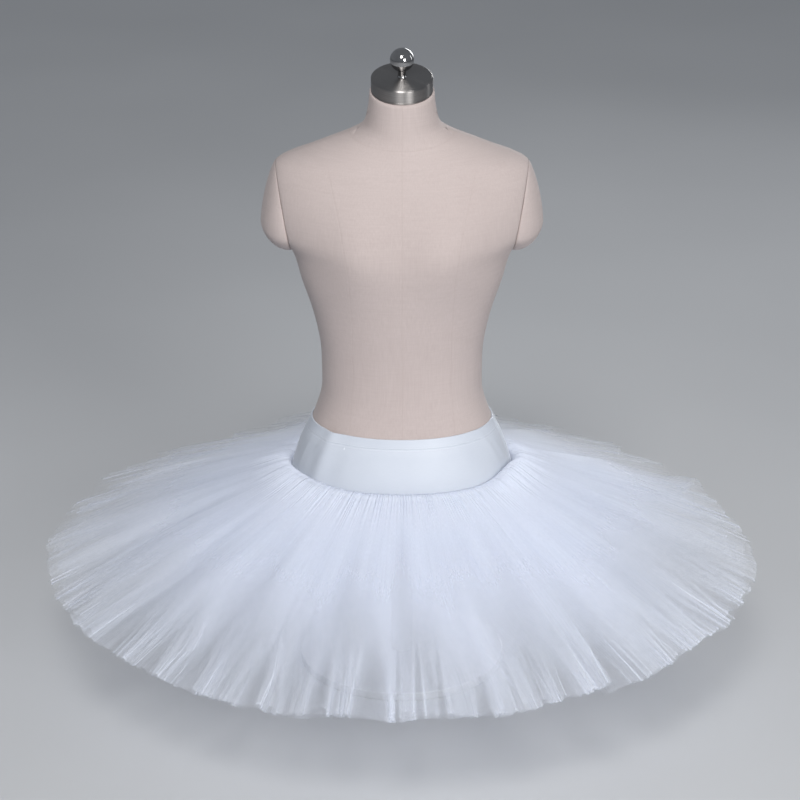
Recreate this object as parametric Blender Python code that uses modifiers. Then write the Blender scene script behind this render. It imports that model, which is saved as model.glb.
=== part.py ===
"""A ballet tutu worn on a limbless dress form.

The form stands on a round base plate, with the origin on the floor at the centre of the plate.
+Z is up, the front of the garment faces -Y and its left side is at +X. Lengths are in metres.
"""

import math
from collections import namedtuple

import bmesh
import bpy
from mathutils import Matrix, Vector

# Driving sizes
AROUND = 48  # points round the form and round each piece that lies on it
PLEATS = 40  # ridges round a net layer
GAP = 0.0003  # clear space at a seam
EASE = 0.0004  # clear space between the form and the cloth on it

FORM_BOTTOM_Z = 0.175
NECK_TOP_Z = 0.8762
BUST_Z = 0.655
BUST_X = 0.068
BUST_RISE = 0.016
BUST_WIDTH = 0.052
BUST_HEIGHT = 0.062

ARMHOLE_LOW_X = 0.1545
ARMHOLE_LOW_Z = 0.6420
ARMHOLE_SLOPE = 0.175  # how far the armhole's plane leans out for each metre of height
ARMHOLE_CENTRE_Z = 0.706
CAP_BULGE = 0.0365
CAP_PEAK_DROP = 0.018
CAP_FULLNESS = 1.62  # the power of the dome's curve at the middle of the armhole
CAP_FULLER_BELOW = 0.38  # added to that power at the armhole's foot, and taken off at its top
CAP_AROUND = 28

NECK_TILT = 12.7  # degrees
NECK_CAP_RADIUS = 0.0430
NECK_CAP_THICK = 0.0213
NECK_CAP_EDGE = 0.0016
BALL_RADIUS = 0.0167
BALL_HEIGHT = 0.0256  # from the neck cap's top to the ball's centre
STEM_RADIUS = 0.0054
STEM_FOOT_RADIUS = 0.0066

BASE_RADIUS = 0.150
BASE_THICK = 0.012
POST_RADIUS = 0.016

WAISTBAND_TOP_Z = 0.3885
WAISTBAND_DEPTH = 0.0130
WAISTBAND_WALL = 0.0022
BASQUE_BOTTOM_Z = 0.3120
BASQUE_WALL = 0.0016
BRIEF_BOTTOM_Z = 0.2350
BRIEF_WALL = 0.0012
NET_WALL = 0.0012

# A section of the form: its height, half its width, how far its front and its back stand from the
# axis, how square its outline is (2 is an ellipse), and how far its plane tips forward.
FormSection = namedtuple("FormSection", "name z half_width front back square tilt")
FORM_SECTIONS = (
    FormSection("bottom edge", 0.1750, 0.1560, 0.1060, 0.1120, 2.2, 0),
    FormSection("below hip", 0.2050, 0.1620, 0.1120, 0.1200, 2.2, 0),
    FormSection("hip", 0.2620, 0.1660, 0.1180, 0.1240, 2.15, 0),
    FormSection("high hip", 0.3150, 0.1560, 0.1170, 0.1170, 2.1, 0),
    FormSection("belly", 0.3620, 0.1410, 0.1060, 0.1040, 2.1, 0),
    FormSection("basque top", 0.3870, 0.1290, 0.0975, 0.0965, 2.1, 0),
    FormSection("below waist", 0.4280, 0.1160, 0.0895, 0.0895, 2.05, 0),
    FormSection("waist", 0.4650, 0.1148, 0.0870, 0.0870, 2.0, 0),
    FormSection("above waist", 0.5020, 0.1165, 0.0880, 0.0870, 2.0, 0),
    FormSection("lower ribs", 0.5510, 0.1265, 0.0930, 0.0900, 2.0, 0),
    FormSection("ribs", 0.5990, 0.1420, 0.0980, 0.0950, 2.0, 0),
    FormSection("armpit", 0.6420, 0.1553, 0.1010, 0.0985, 2.0, 0),
    FormSection("lower armhole", 0.6700, 0.1800, 0.1000, 0.1010, 1.95, 0),
    FormSection("middle armhole", 0.7080, 0.1895, 0.0955, 0.1020, 1.95, 0),
    FormSection("upper armhole", 0.7420, 0.1880, 0.0860, 0.0980, 1.95, 0),
    FormSection("armhole top", 0.7660, 0.1810, 0.0760, 0.0910, 1.9, 0),
    FormSection("shoulder point", 0.7780, 0.1650, 0.0710, 0.0850, 1.85, 0),
    FormSection("shoulder", 0.7890, 0.1370, 0.0660, 0.0770, 1.75, 0),
    FormSection("upper shoulder", 0.8010, 0.1090, 0.0620, 0.0670, 1.65, 1),
    FormSection("neck base", 0.8125, 0.0790, 0.0590, 0.0580, 1.7, 2),
    FormSection("low neck", 0.8240, 0.0570, 0.0575, 0.0500, 1.9, 4),
    FormSection("neck", 0.8470, 0.0482, 0.0565, 0.0400, 2.0, 8),
    FormSection("neck top", NECK_TOP_Z, 0.0448, 0.0560, 0.0340, 2.0, NECK_TILT),
)
# Heights of the form's rings. The cloth on it has its own rings at the same heights, so that the
# facets of the two run side by side.
CLOTH_EDGES = {BRIEF_BOTTOM_Z, BASQUE_BOTTOM_Z, WAISTBAND_TOP_Z - WAISTBAND_DEPTH, WAISTBAND_TOP_Z}
FORM_HEIGHTS = sorted({s.z for s in FORM_SECTIONS} | CLOTH_EDGES)

# A net layer: the height of its seam on the brief, its hem's radius and height, and how far the
# cloth lifts above a straight line from seam to hem.
NetLayer = namedtuple("NetLayer", "name seam_z hem_radius hem_z lift")
NET_LAYERS = (
    NetLayer("net_layer_1", 0.3090, 0.5200, 0.1760, 0.0150),
    NetLayer("net_layer_2", 0.2985, 0.5185, 0.1710, 0.0150),
    NetLayer("net_layer_3", 0.2880, 0.5140, 0.1665, 0.0150),
    NetLayer("net_layer_4", 0.2775, 0.5085, 0.1620, 0.0150),
    NetLayer("net_layer_5", 0.2670, 0.5020, 0.1575, 0.0150),
    NetLayer("net_layer_6", 0.2565, 0.4940, 0.1530, 0.0150),
)
# Where the hem hangs shorter or lower than its circle: the middle of the stretch and its reach to
# either side, in degrees from the left side (+X) towards the back.
Sag = namedtuple("Sag", "name middle reach shorter lower")
SAGS = (
    Sag("back right", 128, 42, 0.0200, 0.0150),
    Sag("back left", 32, 26, 0.0080, 0.0070),
    Sag("front right", 244, 24, 0.0000, 0.0060),
    Sag("front left", 318, 22, 0.0060, 0.0000),
)
NET_STEPS = (0.0, 0.14, 0.50, 1.0)  # where the rings of a layer lie between seam and hem
PLEAT_AT_SEAM = 0.0006  # how far a ridge or a valley stands from the middle of the cloth
PLEAT_AT_HEM = 0.0062

Finish = namedtuple("Finish", "name colour roughness metallic")
LINEN = Finish("linen", (0.50, 0.43, 0.41), 0.85, 0.0)
SATIN = Finish("satin", (0.62, 0.66, 0.74), 0.35, 0.0)
COTTON = Finish("cotton", (0.78, 0.80, 0.84), 0.80, 0.0)
NET = Finish("net", (0.76, 0.80, 0.88), 0.70, 0.0)
STEEL = Finish("brushed_steel", (0.42, 0.41, 0.40), 0.32, 1.0)
POLISHED = Finish("polished_steel", (0.66, 0.66, 0.67), 0.10, 1.0)
PAINT = Finish("base_paint", (0.60, 0.61, 0.63), 0.45, 0.0)


def clear_scene():
    for old in list(bpy.data.objects):
        bpy.data.objects.remove(old, do_unlink=True)


def new_collection(name, hidden=False):
    collection = bpy.data.collections.new(name)
    collection.hide_render = hidden
    bpy.context.scene.collection.children.link(collection)
    return collection


def material(finish):
    """The material of this finish, made once and shared."""
    found = bpy.data.materials.get(finish.name)
    if found:
        return found
    made = bpy.data.materials.new(finish.name)
    made.use_nodes = True
    shader = made.node_tree.nodes["Principled BSDF"]
    shader.inputs["Base Color"].default_value = (*finish.colour, 1)
    shader.inputs["Roughness"].default_value = finish.roughness
    shader.inputs["Metallic"].default_value = finish.metallic
    return made


def new_object(name, mesh, finish, collection, sharp=math.radians(40)):
    """An object with smooth shading whose edges stay sharp above an angle."""
    mesh.shade_smooth()
    mesh.set_sharp_from_angle(angle=sharp)
    mesh.materials.append(material(finish))
    made = bpy.data.objects.new(name, mesh)
    collection.objects.link(made)
    return made


def closed_loft(name, rings):
    """A mesh whose sides join rings of equal count, with a flat cap on the first and the last."""
    shape = bmesh.new()
    loops = [[shape.verts.new(point) for point in ring] for ring in rings]
    count = len(rings[0])
    for lower, upper in zip(loops, loops[1:]):
        for i in range(count):
            j = (i + 1) % count
            shape.faces.new((lower[i], lower[j], upper[j], upper[i]))
    shape.faces.new(list(reversed(loops[0])))
    shape.faces.new(loops[-1])
    return finished_mesh(name, shape)


def finished_mesh(name, shape):
    bmesh.ops.recalc_face_normals(shape, faces=shape.faces)
    mesh = bpy.data.meshes.new(name)
    shape.to_mesh(mesh)
    shape.free()
    return mesh


def smooth_between(before, low, high, after, share):
    """A Catmull-Rom value between low and high, given as (height, value), for uneven heights."""
    span = high[0] - low[0]
    slope_low = (high[1] - before[1]) / (high[0] - before[0])
    slope_high = (after[1] - low[1]) / (after[0] - low[0])
    t2, t3 = share**2, share**3
    return (
        (2 * t3 - 3 * t2 + 1) * low[1]
        + (t3 - 2 * t2 + share) * span * slope_low
        + (3 * t2 - 2 * t3) * high[1]
        + (t3 - t2) * span * slope_high
    )


def section_at(z):
    """The form's section at a height, smooth between the sections of the table."""
    last = len(FORM_SECTIONS) - 1
    z = min(max(z, FORM_SECTIONS[0].z), FORM_SECTIONS[last].z)
    k = max(i for i in range(last) if FORM_SECTIONS[i].z <= z)
    around = [FORM_SECTIONS[min(max(i, 0), last)] for i in (k - 1, k, k + 1, k + 2)]
    share = (z - around[1].z) / (around[2].z - around[1].z)
    values = [
        smooth_between(*((s.z, getattr(s, field)) for s in around), share)
        for field in ("half_width", "front", "back", "square", "tilt")
    ]
    return FormSection("", z, *values)


def bust_rise(x, z):
    """How far the two sides of the bust stand out in front of the plain section."""
    height = math.exp(-(((z - BUST_Z) / BUST_HEIGHT) ** 2))
    sides = sum(math.exp(-(((x - side * BUST_X) / BUST_WIDTH) ** 2)) for side in (-1, 1))
    return BUST_RISE * height * min(sides, 1.0)


def outline_point(section, angle):
    """A point of a section's outline, counted from the left side (+X) towards the back."""
    power = 2 / section.square
    x = section.half_width * math.copysign(abs(math.cos(angle)) ** power, math.cos(angle))
    middle = (section.back - section.front) / 2
    depth = (section.back + section.front) / 2
    y = middle + depth * math.copysign(abs(math.sin(angle)) ** power, math.sin(angle))
    if math.sin(angle) < 0:
        y -= bust_rise(x, section.z) * abs(math.sin(angle)) ** power
    z = section.z + (y - middle) * math.tan(math.radians(section.tilt))
    return Vector((x, y, z))


def form_point(z, angle, out=0.0):
    """A point on the form at a height, moved straight out of its outline."""
    section = section_at(z)
    point = outline_point(section, angle)
    if not out:
        return point
    step = math.pi / AROUND
    along = outline_point(section, angle + step) - outline_point(section, angle - step)
    return point + out * Vector((along.y, -along.x, 0)).normalized()


def angles_round():
    return [2 * math.pi * i / AROUND for i in range(AROUND)]


# The dress form


def armhole_x(z):
    return ARMHOLE_LOW_X + (z - ARMHOLE_LOW_Z) * ARMHOLE_SLOPE


def armhole_cutter(side, cutters):
    """A block beyond the armhole's plane, which cuts the torso's side flat."""
    size = 0.30
    bpy.ops.mesh.primitive_cube_add(size=size)
    block = bpy.context.object
    block.name = f"cutter_armhole_{'left' if side > 0 else 'right'}"
    lean = math.atan(ARMHOLE_SLOPE) * side
    turn = Matrix.Rotation(lean, 4, "Y")
    face = Vector((side * armhole_x(ARMHOLE_CENTRE_Z), 0, ARMHOLE_CENTRE_Z))
    block.matrix_world = Matrix.Translation(face) @ turn @ Matrix.Translation((side * size / 2, 0, 0))
    for holder in list(block.users_collection):
        holder.objects.unlink(block)
    cutters.objects.link(block)
    block.hide_render = True
    block.display_type = "WIRE"
    return block


def make_torso(parts, cutters):
    rings = [[form_point(z, a) for a in angles_round()] for z in FORM_HEIGHTS]
    torso = new_object("form_torso", closed_loft("form_torso", rings), LINEN, parts)
    for side in (-1, 1):
        cut = torso.modifiers.new(f"armhole_{side}", "BOOLEAN")
        cut.operation = "DIFFERENCE"
        cut.object = armhole_cutter(side, cutters)
        cut.solver = "EXACT"
    return torso


def armhole_reach(direction):
    """How far the armhole's edge lies from its centre, in the plane of the armhole."""
    low, high = 0.0, 0.12
    for _ in range(30):
        reach = (low + high) / 2
        z = ARMHOLE_CENTRE_Z + reach * math.sin(direction)
        section = section_at(z)
        middle = (section.back - section.front) / 2
        depth = (section.back + section.front) / 2
        across = abs(armhole_x(z)) / section.half_width
        along = abs(reach * math.cos(direction)) / depth
        inside = across**section.square + along**section.square < 1
        low, high = (reach, high) if inside else (low, reach)
    return low, middle


def make_arm_cap(side, parts):
    """A dome on the armhole: full below, flatter above, its peak a little below the middle."""
    levels = (1.0, 0.93, 0.80, 0.62, 0.40, 0.18)
    normal = Vector((1, 0, -ARMHOLE_SLOPE)).normalized()
    up = Vector((ARMHOLE_SLOPE, 0, 1)).normalized()
    centre = Vector((armhole_x(ARMHOLE_CENTRE_Z), 0, ARMHOLE_CENTRE_Z)) + GAP * normal
    rings = []
    for level in levels:
        ring = []
        for i in range(CAP_AROUND):
            direction = 2 * math.pi * i / CAP_AROUND
            reach, middle = armhole_reach(direction)
            fullness = CAP_FULLNESS - CAP_FULLER_BELOW * math.sin(direction)
            rise = CAP_BULGE * (1 - level**fullness) ** (1 / fullness)
            point = centre + up * (reach * level * math.sin(direction) - CAP_PEAK_DROP * (1 - level))
            point += normal * rise + Vector((0, middle + reach * level * math.cos(direction), 0))
            ring.append(Vector((side * point.x, point.y, point.z)))
        rings.append(ring)
    name = "form_arm_cap_left" if side > 0 else "form_arm_cap_right"
    return new_object(name, closed_loft(name, rings), LINEN, parts)


def turned(name, profile, finish, parts, placing):
    """A turned solid from its profile, given as (radius, height) from the top down."""
    mesh = bpy.data.meshes.new(name)
    points = [(radius, 0, height) for radius, height in profile]
    mesh.from_pydata(points, [(i, i + 1) for i in range(len(points) - 1)], [])
    made = new_object(name, mesh, finish, parts)
    screw = made.modifiers.new("turn", "SCREW")
    screw.axis = "Z"
    screw.steps = 40
    screw.render_steps = 40
    screw.use_merge_vertices = True
    screw.merge_threshold = 0.00001
    made.matrix_world = placing
    return made


def neck_axis():
    """The place and direction of the neck cap's underside."""
    middle = (FORM_SECTIONS[-1].back - FORM_SECTIONS[-1].front) / 2
    place = Matrix.Translation((0, middle, NECK_TOP_Z))
    return place @ Matrix.Rotation(math.radians(NECK_TILT), 4, "X") @ Matrix.Translation((0, 0, GAP))


def make_neck_cap(parts):
    edge, radius, top = NECK_CAP_EDGE, NECK_CAP_RADIUS, NECK_CAP_THICK
    profile = [
        (0, top),
        (radius - edge, top),
        (radius, top - edge),
        (radius, edge / 2),
        (radius - edge / 2, 0),
        (0, 0),
    ]
    return turned("form_neck_cap", profile, STEEL, parts, neck_axis())


def make_finial(parts):
    """A ball on a short stem."""
    steps = 12
    start = math.asin(STEM_RADIUS / BALL_RADIUS)
    ball = []
    for i in range(steps + 1):
        angle = (math.pi - start) * i / steps
        ball.append((BALL_RADIUS * math.sin(angle), BALL_HEIGHT + BALL_RADIUS * math.cos(angle)))
    fillet = STEM_FOOT_RADIUS - STEM_RADIUS
    foot = [(STEM_RADIUS, fillet * 1.5), (STEM_FOOT_RADIUS, 0), (0, 0)]
    placing = neck_axis() @ Matrix.Translation((0, 0, NECK_CAP_THICK + GAP))
    return turned("form_finial", ball + foot, POLISHED, parts, placing)


def make_stand(parts):
    edge = 0.002
    plate = [
        (0, BASE_THICK),
        (BASE_RADIUS - edge, BASE_THICK),
        (BASE_RADIUS, BASE_THICK - edge),
        (BASE_RADIUS, 0),
        (0, 0),
    ]
    turned("form_base", plate, PAINT, parts, Matrix.Identity(4))
    height = FORM_BOTTOM_Z - BASE_THICK - 2 * GAP
    post = [(0, height), (POST_RADIUS, height), (POST_RADIUS, 0), (0, 0)]
    turned("form_post", post, PAINT, parts, Matrix.Translation((0, 0, BASE_THICK + GAP)))


# The cloth that lies on the form


def wall_mesh(name, inner, outer, closed):
    """A wall between two grids of rings, each ring a row of points, closed round or open."""
    shape = bmesh.new()
    skins = [[[shape.verts.new(p) for p in ring] for ring in grid] for grid in (inner, outer)]
    rows, count = len(inner), len(inner[0])
    spans = count if closed else count - 1
    for near, far in zip(range(rows - 1), range(1, rows)):
        for i in range(spans):
            j = (i + 1) % count
            for skin in skins:
                shape.faces.new((skin[near][i], skin[near][j], skin[far][j], skin[far][i]))
    for row in (0, rows - 1):
        for i in range(spans):
            j = (i + 1) % count
            shape.faces.new((skins[0][row][i], skins[0][row][j], skins[1][row][j], skins[1][row][i]))
    if not closed:
        for column in (0, count - 1):
            for near in range(rows - 1):
                corners = [skins[0][near][column], skins[0][near + 1][column]]
                corners += [skins[1][near + 1][column], skins[1][near][column]]
                shape.faces.new(corners)
    return finished_mesh(name, shape)


def band_on_form(name, bottom, top, wall, finish, parts, half=None):
    """A band of cloth round the form, whole or only its front or back half."""
    heights = [bottom] + [z for z in FORM_HEIGHTS if bottom + GAP < z < top - GAP] + [top]
    angles = angles_round()
    if half:
        section = section_at(bottom)
        inset = GAP / (section.front + section.back)
        first = AROUND // 2 if half == "front" else 0
        angles = [2 * math.pi * (first + i) / AROUND for i in range(AROUND // 2 + 1)]
        angles[0] += inset
        angles[-1] -= inset
    inner = [[form_point(z, a, EASE) for a in angles] for z in heights]
    outer = [[form_point(z, a, EASE + wall) for a in angles] for z in heights]
    return new_object(name, wall_mesh(name, inner, outer, half is None), finish, parts)


def make_yoke(parts):
    """The waistband, the basque below it and the brief below that, each just clear of the next."""
    band_bottom = WAISTBAND_TOP_Z - WAISTBAND_DEPTH
    brief_top = BASQUE_BOTTOM_Z - GAP
    band_on_form("waistband", band_bottom, WAISTBAND_TOP_Z, WAISTBAND_WALL, SATIN, parts)
    for half in ("front", "back"):
        name = f"basque_{half}"
        band_on_form(name, BASQUE_BOTTOM_Z, band_bottom - GAP, BASQUE_WALL, SATIN, parts, half)
        name = f"brief_{half}"
        band_on_form(name, BRIEF_BOTTOM_Z, brief_top, BRIEF_WALL, COTTON, parts, half)


# The net layers


def hem_sag(angle):
    """How much shorter and lower the hem hangs at an angle."""
    shorter, lower = 0.0, 0.0
    for sag in SAGS:
        off = (math.degrees(angle) - sag.middle + 180) % 360 - 180
        if abs(off) < sag.reach:
            part_of = (1 + math.cos(math.pi * off / sag.reach)) / 2
            shorter += sag.shorter * part_of
            lower += sag.lower * part_of
    return shorter, lower


def net_height(layer, share, lower):
    """The middle of the cloth between seam and hem: a straight fall with a soft lift."""
    fall = layer.seam_z + (layer.hem_z - lower - layer.seam_z) * share
    return fall + layer.lift * math.sin(math.pi * share**0.75)


def pleat(index, share):
    """How far a pleat's ridge or valley stands from the middle of the cloth, a little unevenly."""
    deep = PLEAT_AT_SEAM + (PLEAT_AT_HEM - PLEAT_AT_SEAM) * share**0.8
    uneven = 0.78 + 0.22 * math.sin(index * 2.4) * math.cos(index * 0.7)
    return deep * uneven * (1 if index % 2 else -1)


def make_net_layer(layer, parts):
    count = 2 * PLEATS
    undersides, tops = [], []
    for share in NET_STEPS:
        low_ring, high_ring = [], []
        for i in range(count):
            angle = 2 * math.pi * i / count
            seam = form_point(layer.seam_z, angle, EASE + BRIEF_WALL + 2 * GAP)
            shorter, lower = hem_sag(angle)
            hem = (layer.hem_radius - shorter) * Vector((math.cos(angle), math.sin(angle), 0))
            point = seam.lerp(hem, share)
            point.z = net_height(layer, share, lower) + pleat(i, share)
            low_ring.append(point - Vector((0, 0, NET_WALL / 2)))
            high_ring.append(point + Vector((0, 0, NET_WALL / 2)))
        undersides.append(low_ring)
        tops.append(high_ring)
    mesh = wall_mesh(layer.name, undersides, tops, closed=True)
    return new_object(layer.name, mesh, NET, parts, sharp=math.radians(60))


def main():
    clear_scene()
    parts = new_collection("tutu_on_dress_form")
    cutters = new_collection("cutters", hidden=True)
    make_torso(parts, cutters)
    for side in (-1, 1):
        make_arm_cap(side, parts)
    make_neck_cap(parts)
    make_finial(parts)
    make_stand(parts)
    make_yoke(parts)
    for layer in NET_LAYERS:
        make_net_layer(layer, parts)


main()
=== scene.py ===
"""The looks of a ballet tutu on a limbless dress form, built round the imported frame.

Lengths are in metres. The origin is on the floor under the form, +Z is up, the front of the garment
faces -Y and its left side is at +X. Angles are counted from the left side (+X) towards the back.
"""

import math
from collections import namedtuple

import bmesh
import bpy
import numpy as np
from mathutils import Matrix, Vector


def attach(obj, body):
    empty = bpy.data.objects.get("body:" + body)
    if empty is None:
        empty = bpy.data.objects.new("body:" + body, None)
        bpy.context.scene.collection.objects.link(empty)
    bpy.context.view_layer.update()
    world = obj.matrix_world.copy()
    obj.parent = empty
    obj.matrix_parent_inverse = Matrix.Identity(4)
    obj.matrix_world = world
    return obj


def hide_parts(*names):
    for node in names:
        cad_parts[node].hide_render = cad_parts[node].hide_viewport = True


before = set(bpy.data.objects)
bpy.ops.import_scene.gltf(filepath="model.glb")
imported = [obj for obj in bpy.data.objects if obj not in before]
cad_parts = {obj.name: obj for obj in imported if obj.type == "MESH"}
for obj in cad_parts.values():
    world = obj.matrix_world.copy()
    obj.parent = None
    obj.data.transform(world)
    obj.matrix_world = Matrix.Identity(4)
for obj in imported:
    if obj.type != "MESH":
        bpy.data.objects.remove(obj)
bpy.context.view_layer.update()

# Sizes shared with the frame
GAP = 0.0003
EASE = 0.0004
NECK_TOP_Z = 0.8762
FORM_BOTTOM_Z = 0.175
ARMHOLE_LOW_X = 0.1545
ARMHOLE_LOW_Z = 0.642
ARMHOLE_SLOPE = 0.175
ARMHOLE_CENTRE_Z = 0.706
CAP_BULGE = 0.0365
CAP_PEAK_DROP = 0.018
CAP_FULLNESS = 1.62
CAP_FULLER_BELOW = 0.38
NECK_TILT = 12.7
NECK_CAP_RADIUS = 0.043
NECK_CAP_THICK = 0.0213
BALL_RADIUS = 0.0167
BALL_HEIGHT = 0.0256
STEM_RADIUS = 0.0054
STEM_FOOT_RADIUS = 0.0066
BASE_RADIUS = 0.15
BASE_THICK = 0.012
POST_RADIUS = 0.016
WAISTBAND_TOP_Z = 0.3885
WAISTBAND_DEPTH = 0.013
JOINT_Z = WAISTBAND_TOP_Z - WAISTBAND_DEPTH
WAISTBAND_WALL = 0.0019
BASQUE_BOTTOM_Z = 0.312
BASQUE_WALL = 0.0016
BRIEF_BOTTOM_Z = 0.235
BRIEF_WALL = 0.0012

# A section of the form: height, half width, front and back of the axis, how square, how far it tips
FORM_SECTIONS = np.array([
    (0.175, 0.156, 0.106, 0.112, 2.2, 0),
    (0.205, 0.162, 0.112, 0.12, 2.2, 0),
    (0.262, 0.166, 0.118, 0.124, 2.15, 0),
    (0.315, 0.156, 0.117, 0.117, 2.1, 0),
    (0.362, 0.141, 0.106, 0.104, 2.1, 0),
    (0.387, 0.129, 0.0975, 0.0965, 2.1, 0),
    (0.428, 0.116, 0.0895, 0.0895, 2.05, 0),
    (0.465, 0.1148, 0.087, 0.087, 2, 0),
    (0.502, 0.1165, 0.088, 0.087, 2, 0),
    (0.551, 0.1265, 0.093, 0.09, 2, 0),
    (0.599, 0.142, 0.098, 0.095, 2, 0),
    (0.642, 0.1553, 0.101, 0.0985, 2, 0),
    (0.67, 0.18, 0.1, 0.101, 1.95, 0),
    (0.708, 0.1895, 0.0955, 0.102, 1.95, 0),
    (0.742, 0.188, 0.086, 0.098, 1.95, 0),
    (0.766, 0.181, 0.076, 0.091, 1.9, 0),
    (0.778, 0.165, 0.071, 0.085, 1.85, 0),
    (0.789, 0.137, 0.066, 0.077, 1.75, 0),
    (0.801, 0.109, 0.062, 0.067, 1.65, 1),
    (0.8125, 0.079, 0.059, 0.058, 1.7, 2),
    (0.824, 0.057, 0.0575, 0.05, 1.9, 4),
    (0.847, 0.0482, 0.0565, 0.04, 2, 8),
    (NECK_TOP_Z, 0.0448, 0.056, 0.034, 2, NECK_TILT),
])
BUST_Z = 0.655
BUST_X = 0.068
BUST_RISE = 0.016
BUST_WIDTH = 0.052
BUST_HEIGHT = 0.062

# The dress form's shape


def bell(value):
    """A smooth bump, 1 at 0 and next to nothing beyond 2."""
    return np.exp(-(value**2))


def smoothstep(low, high, value):
    share = np.clip((value - low) / (high - low), 0, 1)
    return share * share * (3 - 2 * share)


def degrees_from(degrees, middle):
    return (degrees - middle + 180) % 360 - 180


def section_values(z):
    """Half width, front, back, square and tilt at heights z, smooth between the table's rows."""
    heights = FORM_SECTIONS[:, 0]
    last = len(heights) - 1
    z = np.clip(z, heights[0], heights[-1])
    k = np.clip(np.searchsorted(heights, z, side="right") - 1, 0, last - 1)
    before, low, high, after = (FORM_SECTIONS[np.clip(k + i, 0, last)] for i in (-1, 0, 1, 2))
    span = (high - low)[..., :1]
    share = (z[..., None] - low[..., :1]) / span
    slope_low = (high - before) / (high - before)[..., :1]
    slope_high = (after - low) / (after - low)[..., :1]
    t2, t3 = share**2, share**3
    values = (2 * t3 - 3 * t2 + 1) * low + (t3 - 2 * t2 + share) * span * slope_low
    values += (3 * t2 - 2 * t3) * high + (t3 - t2) * span * slope_high
    return [values[..., i] for i in range(1, 6)]


def bust_rise(x, z):
    """How far the two sides of the bust stand out in front of the plain section."""
    sides = sum(bell((x - side * BUST_X) / BUST_WIDTH) for side in (-1, 1))
    return BUST_RISE * bell((z - BUST_Z) / BUST_HEIGHT) * np.minimum(sides, 1.0)


def outline(z, angle):
    """Points on the form at heights and angles."""
    z, angle = np.broadcast_arrays(np.asarray(z, float), np.asarray(angle, float))
    half, front, back, square, tilt = section_values(z)
    power = 2 / square
    cos, sin = np.cos(angle), np.sin(angle)
    middle, depth = (back - front) / 2, (back + front) / 2
    x = half * np.sign(cos) * np.abs(cos) ** power
    y = middle + depth * np.sign(sin) * np.abs(sin) ** power
    y = y - np.where(sin < 0, bust_rise(x, z) * np.abs(sin) ** power, 0)
    return np.stack([x, y, z + (y - middle) * np.tan(np.radians(tilt))], -1)


def form_surface(z, angle, out=0.0):
    """Points on the form at heights and angles, moved straight out of its outline."""
    step = math.pi / 96
    along = outline(z, angle + step) - outline(z, angle - step)
    across = np.stack([along[..., 1], -along[..., 0]], -1)
    across /= np.linalg.norm(across, axis=-1, keepdims=True)
    points = outline(z, angle)
    points[..., :2] += np.asarray(out, float)[..., None] * across
    return points


def angle_at(x, z):
    """The angle, within the left back quarter, at which the form's outline at height z is x out."""
    half, _, _, square, _ = section_values(z)
    return np.arccos(np.clip(x / half, 0, 1) ** (square / 2))


# Meshes


def grid_faces(rows, columns, closed=True):
    """The four-cornered faces of a grid of points, closed round its rows or open."""
    row = np.arange(rows - 1)[:, None]
    column = np.arange(columns if closed else columns - 1)[None, :]
    after = (column + 1) % columns
    corners = [row * columns + column, row * columns + after]
    corners += [(row + 1) * columns + after, (row + 1) * columns + column]
    return np.stack(np.broadcast_arrays(*corners), -1).reshape(-1, 4).tolist()


def capped_faces(rows, columns):
    """The faces of a closed grid whose first and last rows are filled in."""
    last = (rows - 1) * columns
    return [*grid_faces(rows, columns), list(range(columns))[::-1], list(range(last, last + columns))]


def new_piece(name, mesh, finish, sharp=50):
    mesh.materials.append(finish)
    mesh.shade_smooth()
    if sharp:
        mesh.set_sharp_from_angle(angle=math.radians(sharp))
    piece = bpy.data.objects.new(name, mesh)
    bpy.context.scene.collection.objects.link(piece)
    return piece


def mesh_of(name, points, faces):
    mesh = bpy.data.meshes.new(name)
    mesh.from_pydata(points.reshape(-1, 3).tolist(), [], faces)
    return mesh


def set_uv(mesh, u, v, width=None):
    """A UV map in metres, from u and v at each point. Where a piece closes round on itself, a face
    on the join runs on past the piece's full width."""
    corners = np.zeros(len(mesh.loops), np.int64)
    mesh.loops.foreach_get("vertex_index", corners)
    u, v = (np.asarray(values).reshape(-1)[corners] for values in (u, v))
    if width:
        starts, counts = np.zeros((2, len(mesh.polygons)), np.int64)
        mesh.polygons.foreach_get("loop_start", starts)
        mesh.polygons.foreach_get("loop_total", counts)
        spans = np.maximum.reduceat(u, starts) - np.minimum.reduceat(u, starts)
        joins = np.repeat((spans > width / 2) & (counts == 4), counts)
        u = np.where(joins & (u < width / 2), u + width, u)
    layer = mesh.uv_layers.new(name="cloth")
    layer.data.foreach_set("uv", np.stack([u, v], -1).astype(np.float32).ravel())


def set_attribute(mesh, name, values):
    layer = mesh.attributes.new(name, "FLOAT", "POINT")
    layer.data.foreach_set("value", np.asarray(values, np.float32).ravel())


def write_outward(shape, mesh):
    """Turns a shape's faces outwards and writes it to a mesh."""
    bmesh.ops.recalc_face_normals(shape, faces=shape.faces)
    shape.to_mesh(mesh)
    shape.free()
    return mesh


def outward(mesh):
    shape = bmesh.new()
    shape.from_mesh(mesh)
    return write_outward(shape, mesh)


def lathe(name, profile, steps, placing, finish):
    """A turned piece from its profile, given as (radius, height) from the bottom up."""
    turns = 2 * np.pi * np.arange(steps) / steps
    radius, height = np.array(profile).T[:, :, None]
    points = np.stack([radius * np.cos(turns), radius * np.sin(turns), height + 0 * turns], -1)
    mesh = mesh_of(name, points, grid_faces(len(profile), steps))
    shape = bmesh.new()
    shape.from_mesh(mesh)
    bmesh.ops.remove_doubles(shape, verts=shape.verts, dist=1e-6)
    piece = new_piece(name, write_outward(shape, mesh), finish, sharp=35)
    piece.matrix_world = placing
    return piece


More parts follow.
